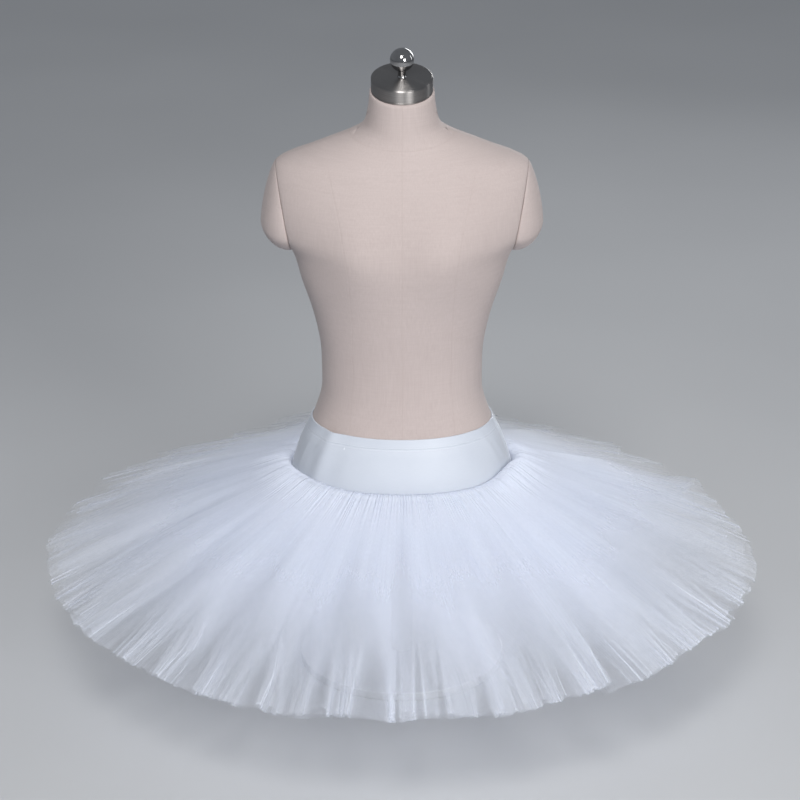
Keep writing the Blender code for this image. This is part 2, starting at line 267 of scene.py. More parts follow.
def arc(centre, radius, start, end, steps):
    """Points (radius, height) along an arc, its angles in degrees from straight out."""
    turns = [math.radians(start + (end - start) * i / steps) for i in range(steps + 1)]
    return [(centre[0] + radius * math.cos(a), centre[1] + radius * math.sin(a)) for a in turns]


# Materials

NET_TRANSLUCENCY = 0.14


def new_material(name):
    made = bpy.data.materials.new(name)
    made.use_nodes = True
    return made, made.node_tree, made.node_tree.nodes["Principled BSDF"]


def set_inputs(node, values):
    """Sets a node's inputs, each to a value or linked to a socket."""
    for key, value in values.items():
        if isinstance(value, bpy.types.NodeSocket):
            node.id_data.links.new(value, node.inputs[key])
        else:
            node.inputs[key].default_value = value


def add_node(tree, kind, inputs, **settings):
    node = tree.nodes.new("ShaderNode" + kind)
    for key, value in settings.items():
        setattr(node, key, value)
    set_inputs(node, inputs)
    return node


def set_shader(shader, **values):
    set_inputs(shader, {key.replace("_", " "): value for key, value in values.items()})


def worked_out(tree, operation, *values):
    return add_node(tree, "Math", dict(enumerate(values)), operation=operation).outputs[0]


def times(tree, value, factor, plus=0.0):
    return worked_out(tree, "MULTIPLY_ADD", value, factor, plus)


def scaled(tree, place, scale):
    return add_node(tree, "Mapping", {"Vector": place, "Scale": scale}).outputs["Vector"]


def scaled_uv(tree, across, along):
    """The piece's UV map in metres, scaled so that noise on it is stretched one way."""
    flat = add_node(tree, "UVMap", {}, uv_map="cloth").outputs["UV"]
    return scaled(tree, flat, (across, along, 1))


def own_place(tree):
    """The piece's own coordinates in metres."""
    return add_node(tree, "TexCoord", {}).outputs["Object"]


def scaled_place(tree, *scale):
    """The piece's own coordinates, scaled so that noise on it is stretched."""
    return scaled(tree, own_place(tree), scale)


def attribute(tree, name):
    return add_node(tree, "Attribute", {}, attribute_name=name).outputs["Fac"]


def noise(tree, place, scale=1.0, detail=2.0, roughness=0.5):
    inputs = {"Vector": place, "Scale": scale, "Detail": detail, "Roughness": roughness}
    return add_node(tree, "TexNoise", inputs).outputs["Fac"]


def plain_weave(tree, pitch):
    """The height of a plain weave: rounded threads both ways, from 0 to 1."""
    place = add_node(tree, "SeparateXYZ", {0: scaled_uv(tree, 1, 1)})
    threads = []
    for axis in (0, 1):
        turns = times(tree, place.outputs[axis], 2 * math.pi / pitch)
        threads.append(times(tree, worked_out(tree, "SINE", turns), 0.5, 0.5))
    return times(tree, *threads)


def ramp(tree, value, low, high, dark, light):
    """A colour between dark and light as value goes from low to high."""
    node = add_node(tree, "ValToRGB", {"Fac": value})
    for stop, position, colour in zip(node.color_ramp.elements, (low, high), (dark, light)):
        stop.position = position
        stop.color = (*colour, 1)
    return node.outputs["Color"]


def spread_value(tree, value, low, high):
    """value, which runs from 0 to 1, spread over low to high."""
    return times(tree, value, high - low, low)


def bump(tree, height, strength, depth):
    inputs = {"Height": height, "Strength": strength, "Distance": depth}
    return add_node(tree, "Bump", inputs).outputs["Normal"]


def linen_material():
    """Fine unbleached linen: a plain weave with upright slubs, darker in its seams."""
    made, tree, shader = new_material("linen")
    slubs = noise(tree, scaled_place(tree, 620, 620, 24), detail=3.0, roughness=0.6)
    picks = noise(tree, scaled_place(tree, 34, 34, 700))
    cloudy = noise(tree, scaled_place(tree, 8, 8, 6), detail=3.0)
    tone = times(tree, slubs, 0.45)
    tone = times(tree, picks, 0.25, tone)
    tone = times(tree, cloudy, 0.3, tone)
    plain = ramp(tree, tone, 0.3, 0.7, (0.408, 0.345, 0.33), (0.476, 0.411, 0.396))
    seamed = {"Fac": attribute(tree, "seam"), "Color1": plain, "Color2": (0.3, 0.235, 0.21, 1)}
    weave = times(tree, slubs, 0.5, plain_weave(tree, 0.0011))
    set_shader(
        shader,
        Base_Color=add_node(tree, "MixRGB", seamed).outputs["Color"],
        Roughness=spread_value(tree, tone, 0.98, 0.72),
        Normal=bump(tree, weave, 0.25, 0.0002),
        Specular_IOR_Level=0.25, Sheen_Weight=0.12, Sheen_Roughness=0.5,
    )
    return made


def satin_material():
    """White stretch satin: smooth, with long floats that give a soft sheen."""
    made, tree, shader = new_material("white_satin")
    floats = noise(tree, scaled_uv(tree, 120, 1500))
    cloudy = noise(tree, scaled_uv(tree, 14, 18))
    tone = times(tree, floats, 0.5, times(tree, cloudy, 0.5))
    set_shader(
        shader,
        Base_Color=ramp(tree, tone, 0.3, 0.7, (0.49, 0.526, 0.594), (0.53, 0.567, 0.63)),
        Roughness=spread_value(tree, tone, 0.36, 0.6),
        Normal=bump(tree, floats, 0.18, 0.00012),
        Specular_IOR_Level=0.45, Sheen_Weight=0.25, Sheen_Roughness=0.35,
    )
    return made


def cotton_material():
    """Plain white cotton of the brief."""
    made, tree, shader = new_material("white_cotton")
    yarn = noise(tree, scaled_uv(tree, 700, 700))
    set_shader(
        shader,
        Base_Color=ramp(tree, yarn, 0.25, 0.75, (0.7, 0.73, 0.79), (0.8, 0.83, 0.88)),
        Roughness=spread_value(tree, yarn, 0.75, 0.95),
        Normal=bump(tree, plain_weave(tree, 0.0008), 0.3, 0.00015),
        Specular_IOR_Level=0.3, Sheen_Weight=0.1,
    )
    return made


def thread_material():
    """White sewing thread, twisted."""
    made, tree, shader = new_material("white_thread")
    twist = noise(tree, scaled_place(tree, 2500, 2500, 2500), scale=5.0)
    colour = ramp(tree, twist, 0.3, 0.7, (0.6, 0.63, 0.69), (0.74, 0.77, 0.83))
    set_shader(shader, Base_Color=colour, Roughness=spread_value(tree, twist, 0.45, 0.65))
    return made


def net_material():
    """White net that lets light through: how much it covers comes from how closely it is gathered."""
    made, tree, shader = new_material("white_net")
    grain = noise(tree, scaled_uv(tree, 700, 160), detail=1.0)
    grained = times(tree, attribute(tree, "cover"), spread_value(tree, grain, 0.9, 1.1))
    grained = worked_out(tree, "MINIMUM", grained, 1.0)
    colour = ramp(tree, grain, 0.2, 0.8, (0.8, 0.848, 0.965), (0.855, 0.898, 0.99))
    set_shader(
        shader,
        Base_Color=colour,
        Roughness=0.6, Specular_IOR_Level=0.2, Sheen_Weight=0.15, Sheen_Roughness=0.4,
    )
    through = add_node(tree, "BsdfTranslucent", {"Color": colour}).outputs[0]
    cloth = add_node(tree, "MixShader", {0: NET_TRANSLUCENCY, 1: shader.outputs[0], 2: through})
    clear = add_node(tree, "BsdfTransparent", {}).outputs[0]
    net = add_node(tree, "MixShader", {0: grained, 1: clear, 2: cloth.outputs[0]})
    set_inputs(tree.nodes["Material Output"], {"Surface": net.outputs[0]})
    return made


def brushed_steel_material():
    """Steel brushed in circles round the axis of the piece."""
    made, tree, shader = new_material("brushed_steel")
    parts = add_node(tree, "SeparateXYZ", {0: own_place(tree)}).outputs
    flat = add_node(tree, "CombineXYZ", {"X": parts[0], "Y": parts[1]}).outputs[0]
    radius = add_node(tree, "VectorMath", {0: flat}, operation="LENGTH").outputs["Value"]
    rings = add_node(tree, "CombineXYZ", {"X": radius, "Y": parts[2]}).outputs[0]
    scratches = noise(tree, rings, scale=3800, detail=3.0, roughness=0.7)
    set_shader(
        shader,
        Base_Color=ramp(tree, scratches, 0.25, 0.75, (0.24, 0.228, 0.222), (0.4, 0.385, 0.375)),
        Roughness=spread_value(tree, scratches, 0.36, 0.46),
        Normal=bump(tree, scratches, 0.1, 0.00004),
        Tangent=add_node(tree, "Tangent", {}, direction_type="RADIAL", axis="Z").outputs[0],
        Metallic=1.0, Anisotropic=0.95, Anisotropic_Rotation=0.25,
    )
    return made


def chrome_material():
    """Polished steel with the faintest smears."""
    made, tree, shader = new_material("polished_steel")
    smears = noise(tree, own_place(tree), scale=90, detail=3.0)
    colour = ramp(tree, smears, 0.3, 0.7, (0.34, 0.335, 0.335), (0.42, 0.415, 0.415))
    set_shader(shader, Base_Color=colour, Roughness=spread_value(tree, smears, 0.04, 0.13), Metallic=1.0)
    return made


def paint_material():
    """Grey stand paint with a fine orange peel, mottled by a dust-like noise, with painted shade: darker
    where it faces sideways and paler on top.
    """
    made, tree, shader = new_material("stand_paint")
    coordinates = add_node(tree, "TexCoord", {}).outputs
    facing = add_node(tree, "SeparateXYZ", {0: coordinates["Normal"]}).outputs["Z"]
    dust = noise(tree, coordinates["Object"], scale=22, detail=5.0)
    # Painted shade: the colour darkens where the surface faces sideways and is palest on top, mottled by
    # the dust noise
    painted_shade_and_dust = times(tree, dust, 0.3, facing)
    set_shader(
        shader,
        Base_Color=ramp(tree, painted_shade_and_dust, 0.7, 1.05, (0.415, 0.425, 0.44), (0.505, 0.515, 0.53)),
        Roughness=spread_value(tree, dust, 0.45, 0.65),
        Normal=bump(tree, noise(tree, coordinates["Object"], scale=420), 0.15, 0.0002),
    )
    return made


def floor_material():
    made, tree, shader = new_material("pale_floor")
    cloudy = noise(tree, own_place(tree), scale=1.3)
    colour = ramp(tree, cloudy, 0.3, 0.7, (0.5, 0.51, 0.525), (0.53, 0.54, 0.555))
    set_shader(shader, Base_Color=colour, Roughness=0.9, Specular_IOR_Level=0.1)
    return made


LINEN = linen_material()
SATIN = satin_material()
COTTON = cotton_material()
THREAD = thread_material()
NET = net_material()
BRUSHED = brushed_steel_material()
CHROME = chrome_material()
PAINT = paint_material()

# The linen cover is sewn from panels, with seams down the sides and the middles, and one down the
# bust and one down the shoulder blade on each side: its distance from the middle at each height.
SEAM_HEIGHTS = (0.175, 0.3, 0.39, 0.465, 0.55, 0.63, 0.7, 0.775, 0.8762)
BUST_SEAM_X = (0.088, 0.084, 0.075, 0.069, 0.07, 0.074, 0.085, 0.102, 0.024)
BLADE_SEAM_X = (0.076, 0.074, 0.066, 0.06, 0.066, 0.074, 0.08, 0.086, 0.022)
SEAM_DEPTH = 0.0002
SEAM_DARKNESS = 0.12
SEAM_NEAR, SEAM_FAR = 0.0009, 0.0024  # how far from a seam's middle the columns and levels beside it are
BESIDE_SEAM = 0.12  # how much of a seam there is at the near column
BETWEEN_SEAMS = 13
BUST_SEAM_END_Z = 0.775
SMALL_TURN = 0.002  # radians
LEVEL_STEP = 0.006
NECK_SEAM_Z = 0.81
NECK_SEAM_FRONT_Z, NECK_SEAM_SIDE_Z, NECK_SEAM_BACK_Z = 0.804, 0.815, 0.819
NECK_SEAM_HALF_WIDTH = 0.0007
NECK_SEAM_REACH = 0.016
LINEN_WIDTH = 2 * math.pi * 0.14


def panel_angles(z):
    """The angles of the seams at heights z, in turn from the left side round by the back."""
    bust = angle_at(np.interp(z, SEAM_HEIGHTS, BUST_SEAM_X), z)
    blade = angle_at(np.interp(z, SEAM_HEIGHTS, BLADE_SEAM_X), z)
    quarter = np.full_like(z, math.pi / 2)
    turns = [0 * quarter, blade, quarter, math.pi - blade, 2 * quarter]
    turns += [math.pi + bust, 3 * quarter, 2 * math.pi - bust, 4 * quarter]
    return np.stack(turns, -1)


def torso_columns(z):
    """Angles of the torso's columns at heights z, close together beside each seam, and how much of
    a seam each column is."""
    seams = panel_angles(z)
    before, after = (outline(z[:, None], seams + side * SMALL_TURN) for side in (-1, 1))
    per_metre = 2 * SMALL_TURN / np.maximum(np.linalg.norm(after - before, axis=-1), 1e-6)
    angles, weights = [], []
    for k in range(seams.shape[1] - 1):
        seam, following = seams[:, k], seams[:, k + 1]
        start = seam + SEAM_FAR * per_metre[:, k]
        end = following - SEAM_FAR * per_metre[:, k + 1]
        panel = [start + (end - start) * i / BETWEEN_SEAMS for i in range(BETWEEN_SEAMS + 1)]
        angles += [seam, seam + SEAM_NEAR * per_metre[:, k]]
        angles += [*panel, following - SEAM_NEAR * per_metre[:, k + 1]]
        # Every second seam is a bust or blade seam, which ends under the shoulder
        there = 1.0 * ((k % 2 == 0) | (z <= BUST_SEAM_END_Z))
        weights += [there, BESIDE_SEAM * there] + [0 * there] * (len(panel) + 1)
    return np.stack(angles, -1), np.stack(weights, -1)


def neck_seam_z(angle):
    """The height of the seam at the foot of the neck: low in front, higher at the sides and back."""
    front = np.maximum(-np.sin(angle), 0) ** 2
    back = np.maximum(np.sin(angle), 0) ** 2
    side = 1 - front - back
    return front * NECK_SEAM_FRONT_Z + side * NECK_SEAM_SIDE_Z + back * NECK_SEAM_BACK_Z


def make_torso():
    """The form's linen-covered body, cut flat at the armholes, with its seams drawn in."""
    bottom_edge = [FORM_BOTTOM_Z, FORM_BOTTOM_Z + 0.0012, FORM_BOTTOM_Z + 0.003]
    levels = np.arange(FORM_BOTTOM_Z + LEVEL_STEP, NECK_TOP_Z - LEVEL_STEP / 2, LEVEL_STEP)
    levels = levels[np.abs(levels - NECK_SEAM_Z) > LEVEL_STEP / 2]
    seam_levels = [NECK_SEAM_Z + off for off in (-SEAM_FAR, -SEAM_NEAR, 0, SEAM_NEAR, SEAM_FAR)]
    z = np.array(sorted([*bottom_edge, *levels, *seam_levels, NECK_TOP_Z - 0.001, NECK_TOP_Z]))
    angles, seam = torso_columns(z)
    # Levels near the foot of the neck rise and fall with the neck's seam.
    pull = bell((z - NECK_SEAM_Z) / NECK_SEAM_REACH)[:, None]
    heights = z[:, None] + (neck_seam_z(angles) - NECK_SEAM_Z) * pull
    seam = np.maximum(seam, bell((z - NECK_SEAM_Z) / NECK_SEAM_HALF_WIDTH)[:, None])
    draw_in = -SEAM_DEPTH * seam
    for level, turned_in in ((0, 0.0012), (1, 0.0004), (-1, 0.0006)):
        draw_in[level] -= turned_in
    points = form_surface(heights, angles, draw_in)
    mesh = mesh_of("form_torso_linen", points, capped_faces(*angles.shape))
    set_attribute(mesh, "seam", seam * SEAM_DARKNESS)
    set_uv(mesh, angles / (2 * math.pi) * LINEN_WIDTH, heights, LINEN_WIDTH)
    cut_armholes(mesh)
    return new_piece("form_torso_linen", mesh, LINEN)


CUT_FROM_Z = 0.605  # no cut below this: further down the armholes' planes run through the hips
ARMHOLE_RINGS = (0.0032, 0.0012, 0.0)  # how deep under an armhole's plane each cut is, the last opens it
# How far the edge is drawn in where it lies less deep than the first value under the plane
ARMHOLE_EDGE = ((0.0004, 0.001), (0.002, 0.0003))


def armhole_x(z):
    return ARMHOLE_LOW_X + (z - ARMHOLE_LOW_Z) * ARMHOLE_SLOPE


def cut_armholes(mesh):
    """Cuts the torso's sides flat at the armholes, and draws the cut's edge in as a sewn edge is."""
    shape = bmesh.new()
    shape.from_mesh(mesh)
    for side in (-1, 1):
        normal = Vector((side, 0, -ARMHOLE_SLOPE)).normalized()
        centre = Vector((side * armhole_x(ARMHOLE_CENTRE_Z), 0, ARMHOLE_CENTRE_Z))
        for inset in ARMHOLE_RINGS:
            faces = [f for f in shape.faces if min(v.co.z for v in f.verts) > CUT_FROM_Z]
            edges = dict.fromkeys(e for f in faces for e in f.edges)
            found = bmesh.ops.bisect_plane(
                shape,
                geom=[*faces, *edges, *dict.fromkeys(v for f in faces for v in f.verts)],
                dist=0.00001,
                plane_co=centre - normal * inset,
                plane_no=normal,
                clear_outer=inset == 0.0,
            )
        edges = [e for e in found["geom_cut"] if isinstance(e, bmesh.types.BMEdge)]
        bmesh.ops.holes_fill(shape, edges=edges)
        for vertex in shape.verts:
            depth = (centre - vertex.co).dot(normal)
            if vertex.co.z < ARMHOLE_LOW_Z - 0.01 or side * vertex.co.x < 0:
                continue
            inward = Vector((0, -vertex.co.y, ARMHOLE_CENTRE_Z - vertex.co.z))
            drawn = next((by for deep, by in ARMHOLE_EDGE if depth < deep), 0)
            if inward.length > 0.02:
                vertex.co += inward.normalized() * drawn
    write_outward(shape, mesh)


HALVINGS = 30


def armhole_reach(direction):
    """How far the armhole's edge lies from its centre, in the plane of the armhole, and where the
    middle of the form's depth is there."""
    low, high = np.zeros_like(direction), np.full_like(direction, 0.12)
    for _ in range(HALVINGS):
        reach = (low + high) / 2
        z = ARMHOLE_CENTRE_Z + reach * np.sin(direction)
        half, front, back, square, _ = section_values(z)
        across = np.abs(armhole_x(z)) / half
        along = np.abs(reach * np.cos(direction)) / ((back + front) / 2)
        inside = across**square + along**square < 1
        low, high = np.where(inside, reach, low), np.where(inside, high, reach)
    return low, (back - front) / 2


CAP_AROUND = 112
CAP_LEVELS = 26
CAP_PEAK = 0.02  # how far the cap's last ring is from its peak, as a share
CAP_SEAM_DARKNESS = 0.8


def make_arm_cap(side, name):
    """The linen dome that closes an armhole."""
    direction = 2 * np.pi * np.arange(CAP_AROUND) / CAP_AROUND
    reach, middle = armhole_reach(direction)
    share = np.linspace(0, 1, CAP_LEVELS)
    level = np.cos(share * math.pi / 2) * (1 - CAP_PEAK) + CAP_PEAK
    level[0] = 1.0
    on_seam = share < 1 / CAP_LEVELS
    drawn = np.where(on_seam, 0.001, 0.0002 * (1 - share))[:, None]
    fullness = CAP_FULLNESS - CAP_FULLER_BELOW * np.sin(direction)
    rise = CAP_BULGE * (1 - level[:, None] ** fullness) ** (1 / fullness)
    up_by = (reach - drawn) * level[:, None] * np.sin(direction) - CAP_PEAK_DROP * (1 - level[:, None])
    back_by = middle + (reach - drawn) * level[:, None] * np.cos(direction)
    normal = np.array((1, 0, -ARMHOLE_SLOPE)) / math.hypot(1, ARMHOLE_SLOPE)
    up = np.array((ARMHOLE_SLOPE, 0, 1)) / math.hypot(1, ARMHOLE_SLOPE)
    centre = np.array((armhole_x(ARMHOLE_CENTRE_Z), 0, ARMHOLE_CENTRE_Z)) + GAP * normal
    points = centre + up * up_by[..., None] + normal * rise[..., None]
    points[..., 1] += back_by
    points[..., 0] *= side
    mesh = mesh_of(name, points, capped_faces(CAP_LEVELS, CAP_AROUND))
    set_attribute(mesh, "seam", np.broadcast_to(on_seam[:, None] * CAP_SEAM_DARKNESS, rise.shape))
    set_uv(mesh, points[..., 1], points[..., 2])
    return new_piece(name, outward(mesh), LINEN)


# The metal parts of the form


def neck_axis():
    middle = (FORM_SECTIONS[-1][3] - FORM_SECTIONS[-1][2]) / 2
    place = Matrix.Translation((0, middle, NECK_TOP_Z))
    return place @ Matrix.Rotation(math.radians(NECK_TILT), 4, "X") @ Matrix.Translation((0, 0, GAP))


def make_neck_cap():
    """A turned steel cap with a bevelled top edge and a fine groove round its foot."""
    radius, top, bevel = NECK_CAP_RADIUS, NECK_CAP_THICK, 0.0016
    profile = [(0, 0), (radius - 0.0008, 0)]
    profile += arc((radius - 0.0008, 0.0008), 0.0008, -90, 0, 4)
    profile += [(radius, 0.0022), (radius - 0.0004, 0.0025), (radius - 0.0004, 0.0028), (radius, 0.0031)]
    profile += [(radius, top * 0.5), (radius, top - bevel - 0.0004)]
    profile += arc((radius - 0.0004, top - bevel - 0.0004), 0.0004, 0, 40, 2)
    profile += [(radius - bevel - 0.0002, top - 0.00025), (radius - bevel - 0.0008, top)]
    profile += [(radius * share, top) for share in (0.8, 0.6, 0.4, 0.25, 0.12, 0)]
    return lathe("neck_cap_steel", profile, 144, neck_axis(), BRUSHED)


def make_finial():
    """A polished ball on a short stem that spreads a little at its foot."""
    start = math.degrees(math.asin(STEM_RADIUS / BALL_RADIUS))
    foot = STEM_FOOT_RADIUS
    profile = [(0, 0), (foot - 0.0003, 0), (foot, 0.0003), (foot - 0.0002, 0.0009)]
    profile += [(STEM_RADIUS + 0.0003, 0.0016), (STEM_RADIUS, 0.0026)]
    profile += arc((0, BALL_HEIGHT), BALL_RADIUS, start - 90, 89.9, 40)[:-1]
    profile += [(0, BALL_HEIGHT + BALL_RADIUS)]
    placing = neck_axis() @ Matrix.Translation((0, 0, NECK_CAP_THICK + GAP))
    return lathe("finial_ball", profile, 96, placing, CHROME)


def make_stand():
    """The base plate with its rounded rim, and the post under the form."""
    rim = 0.002
    plate = [(0, 0), (BASE_RADIUS - 0.0005, 0), (BASE_RADIUS, 0.0005)]
    plate += arc((BASE_RADIUS - rim, BASE_THICK - rim), rim, 0, 90, 6)
    plate += [(BASE_RADIUS * 0.6, BASE_THICK), (POST_RADIUS + 0.004, BASE_THICK), (0, BASE_THICK)]
    base = lathe("base_plate", plate, 160, Matrix.Identity(4), PAINT)
    height = FORM_BOTTOM_Z - BASE_THICK - 2 * GAP
    tube = [(0, 0), (POST_RADIUS, 0), (POST_RADIUS, height), (0, height)]
    post = lathe("stand_post", tube, 64, Matrix.Translation((0, 0, BASE_THICK + GAP)), PAINT)
    return base, post


# The cloth that lies on the form

# A soft crease: its middle as an angle in degrees and a height, its half length and half width in
# metres, how far it leans from upright in degrees, and how high it stands.
Crease = namedtuple("Crease", "angle z length width lean height")
BASQUE_CREASES = [Crease(*row) for row in (
    (221, 0.346, 0.075, 0.015, 6, 0.0043),
    (214, 0.364, 0.01, 0.004, 34, 0.0006),
    (200, 0.345, 0.026, 0.006, 14, 0.0006),
    (238, 0.352, 0.03, 0.01, 12, 0.0004),
    (262, 0.33, 0.022, 0.012, -8, 0.0004),
    (288, 0.345, 0.03, 0.011, 10, 0.0004),
    (309, 0.356, 0.026, 0.009, -18, 0.0005),
    (331, 0.36, 0.03, 0.006, -24, 0.0008),
    (344, 0.34, 0.024, 0.005, -30, 0.0007),
    (354, 0.35, 0.12, 0.0014, 0, 0.0016),
    (12, 0.352, 0.028, 0.006, 22, 0.0009),
    (31, 0.341, 0.03, 0.008, 12, 0.0006),
    (64, 0.35, 0.024, 0.01, -10, 0.0004),
    (97, 0.338, 0.026, 0.011, 8, 0.0004),
    (128, 0.352, 0.028, 0.009, 16, 0.0005),
    (150, 0.345, 0.03, 0.007, -20, 0.0008),
    (168, 0.356, 0.026, 0.005, -26, 0.001),
)]
BASQUE_MEAN_RADIUS = 0.135
FELL_WIDTH = 0.0042  # how far in from a side seam the turned cloth stands proud
FELL_HEIGHT = 0.0006
EDGE_ROUNDING = 0.0003
JOINT = 0.00006  # the space left between the waistband's lower edge and the basque


def crease_height(angle, z):
    """How far the basque's soft creases stand out at angles and heights."""
    total = np.zeros(np.broadcast(angle, z).shape)
    for crease in BASQUE_CREASES:
        across = np.radians(degrees_from(np.degrees(angle), crease.angle)) * BASQUE_MEAN_RADIUS
        up = z - crease.z
        lean = math.radians(crease.lean)
        along = up * math.cos(lean) + across * math.sin(lean)
        beside = across * math.cos(lean) - up * math.sin(lean)
        total += crease.height * bell(along / crease.length) * bell(beside / crease.width)
    return total


def rounded_profile(bottom, top, wall, steps):
    """The cross-section of a band of cloth as (out, height), with rounded edges, in one closed round."""
    edge = min(wall / 2, EDGE_ROUNDING)
    low, high = bottom + edge, top - edge
    rise = (high - low) / steps
    profile = [(wall, low + rise * i) for i in range(steps)]
    profile += arc((wall - edge, high), edge, 0, 90, 3) + arc((edge, high), edge, 90, 180, 3)
    profile += [(0.0, high - rise * i) for i in range(1, steps)]
    profile += arc((edge, low), edge, 180, 270, 3) + arc((wall - edge, low), edge, 270, 360, 3)
    return np.array(profile[:-1])


def cloth_band(name, bottom, top, wall, finish, start, end, steps, columns, creased=False, felled=False):
    """A band of cloth round the form between two angles in degrees, or all round it."""
    whole = end - start == 360
    angle = np.radians(np.linspace(start, end, columns, endpoint=not whole))
    profile = rounded_profile(bottom, top, wall, steps)
    out, z = profile[:, :1], profile[:, 1:]
    extra = np.zeros((len(profile), columns))
    if creased:
        extra += crease_height(angle[None, :], z)
    if felled:
        from_end = np.minimum(angle - angle[0], angle[-1] - angle) * BASQUE_MEAN_RADIUS
        extra += FELL_HEIGHT * (1 - smoothstep(FELL_WIDTH * 0.7, FELL_WIDTH, from_end))[None, :] * (out > 0)
    points = form_surface(np.broadcast_to(z, extra.shape), angle[None, :], EASE + out + extra)
    count = len(profile)
    faces = (np.array(grid_faces(count + 1, columns, closed=whole)) % (count * columns)).tolist()
    if not whole:
        faces.append([i * columns for i in range(count)])
        faces.append([i * columns + columns - 1 for i in range(count)][::-1])
    mesh = mesh_of(name, points, faces)
    width = 2 * math.pi * BASQUE_MEAN_RADIUS
    u = np.arange(columns) / (columns if whole else columns - 1) * width * (end - start) / 360
    u, v = np.broadcast_arrays(u[None, :], z)
    set_uv(mesh, u, v, width if whole else None)
    return new_piece(name, outward(mesh), finish)


def make_yoke():
    """The waistband, the two halves of the basque and the two halves of the brief, by node."""
    waistband = cloth_band(
        "waistband_satin", JOINT_Z, WAISTBAND_TOP_Z, WAISTBAND_WALL, SATIN, 0, 360, 6, 432, creased=True
    )
    pieces = {"waistband": waistband}
    inset = math.degrees(GAP / 0.23)
    for half, start in (("front", 180), ("back", 0)):
        ends = (start + inset, start + 180 - inset)
        pieces[f"basque_{half}"] = cloth_band(
            f"basque_{half}_satin", BASQUE_BOTTOM_Z, JOINT_Z - JOINT, BASQUE_WALL, SATIN,
            *ends, 22, 220, creased=True, felled=True,
        )
        pieces[f"brief_{half}"] = cloth_band(
            f"brief_{half}_cotton", BRIEF_BOTTOM_Z, BASQUE_BOTTOM_Z - GAP, BRIEF_WALL, COTTON,
            *ends, 12, 120,
        )
    return pieces


STITCH_PITCH = 0.0026
STITCH_LENGTH = 0.0019
STITCH_RING = 6
# Along a stitch: how far along, and how thick it is there
STITCH_SHAPE = ((0.0, 0.25), (0.22, 1.0), (0.78, 1.0), (1.0, 0.25))
THREAD_RADIUS = 0.00019
TACK_ANGLE = 234.2
TACK_Z = BASQUE_BOTTOM_Z + 0.0572
TACK_TURNS = 5
TACK_RADIUS = 0.0005


def stitch_shape(starts, ends, outwards, radii):
    """Points and faces of stitches, each a short pointed roll of thread from a start to an end."""
    ring = 2 * np.pi * np.arange(STITCH_RING) / STITCH_RING
    along = ends - starts
    across = np.cross(along, outwards)
    across /= np.linalg.norm(across, axis=-1, keepdims=True)
    round_it = across[:, None] * np.cos(ring)[:, None] + outwards[:, None] * np.sin(ring)[:, None]
    rings = []
    for place, size in STITCH_SHAPE:
        middle = starts + along * place
        rings.append(middle[:, None] + round_it * radii[:, None, None] * size)
    each = len(STITCH_SHAPE) * STITCH_RING
    one = capped_faces(len(STITCH_SHAPE), STITCH_RING)
    faces = [[corner + each * i for corner in face] for i in range(len(starts)) for face in one]
    return np.stack(rings, 1), faces


def on_basque(z, angle, wall):
    """Points on the outer face of the waistband or basque."""
    return form_surface(z, angle, EASE + wall + crease_height(angle, z))


def make_stitches():
    """The thread that shows: a row on each side of the waistband's joint, one up each side of a side
    seam, and a short bar tack."""
    rows = []

    def add_row(z, angle, z_end, angle_end, wall, radius=THREAD_RADIUS):
        facing = np.stack([np.cos(angle), np.sin(angle), np.full_like(angle, 0.15)], -1)
        facing /= np.linalg.norm(facing, axis=-1, keepdims=True)
        ends = (on_basque(z, angle, wall), on_basque(z_end, angle_end, wall))
        rows.append((*ends, facing, np.full(len(angle), radius)))

    count = int(2 * np.pi * BASQUE_MEAN_RADIUS / STITCH_PITCH)
    turns = 2 * np.pi * (np.arange(count) + 0.5) / count
    reach = 2 * np.pi / count * STITCH_LENGTH / STITCH_PITCH
    for z, wall in ((JOINT_Z + 0.0014, WAISTBAND_WALL), (JOINT_Z - 0.002, BASQUE_WALL)):
        level = np.full_like(turns, z)
        add_row(level, turns, level, turns + reach, wall)
    heights = np.arange(BASQUE_BOTTOM_Z + 0.003, JOINT_Z - 0.004, STITCH_PITCH)
    for middle in (0, math.pi):
        for side in (-1, 1):
            angle = np.full_like(heights, middle + side * (FELL_WIDTH * 0.72) / BASQUE_MEAN_RADIUS)
            add_row(heights, angle, heights + STITCH_LENGTH, angle, BASQUE_WALL + FELL_HEIGHT)
    tack_z = TACK_Z + 0.0005 * np.arange(TACK_TURNS)
    angle = np.full(TACK_TURNS, math.radians(TACK_ANGLE))
    add_row(tack_z, angle, tack_z + 0.0004, angle + 0.02, BASQUE_WALL + 0.0003, TACK_RADIUS)
    points, faces = stitch_shape(*(np.concatenate(part) for part in zip(*rows)))
    mesh = mesh_of("sewing_thread", points, faces)
    set_uv(mesh, points[..., 0], points[..., 2])
    return new_piece("sewing_thread", outward(mesh), THREAD)


# The net layers

NetLayer = namedtuple("NetLayer", "name seam_z hem_radius hem_z follows")
NET_LAYERS = (
    NetLayer("net_layer_1", 0.309, 0.52, 0.176, 1.0),
    NetLayer("net_layer_2", 0.2985, 0.5185, 0.171, 1.0),
    NetLayer("net_layer_3", 0.288, 0.514, 0.1665, 0.9),
    NetLayer("net_layer_4", 0.2775, 0.5085, 0.162, 0.75),
    NetLayer("net_layer_5", 0.267, 0.502, 0.1575, 0.65),
    NetLayer("net_layer_6", 0.2565, 0.494, 0.153, 0.6),
)
NET_LIFT = 0.015
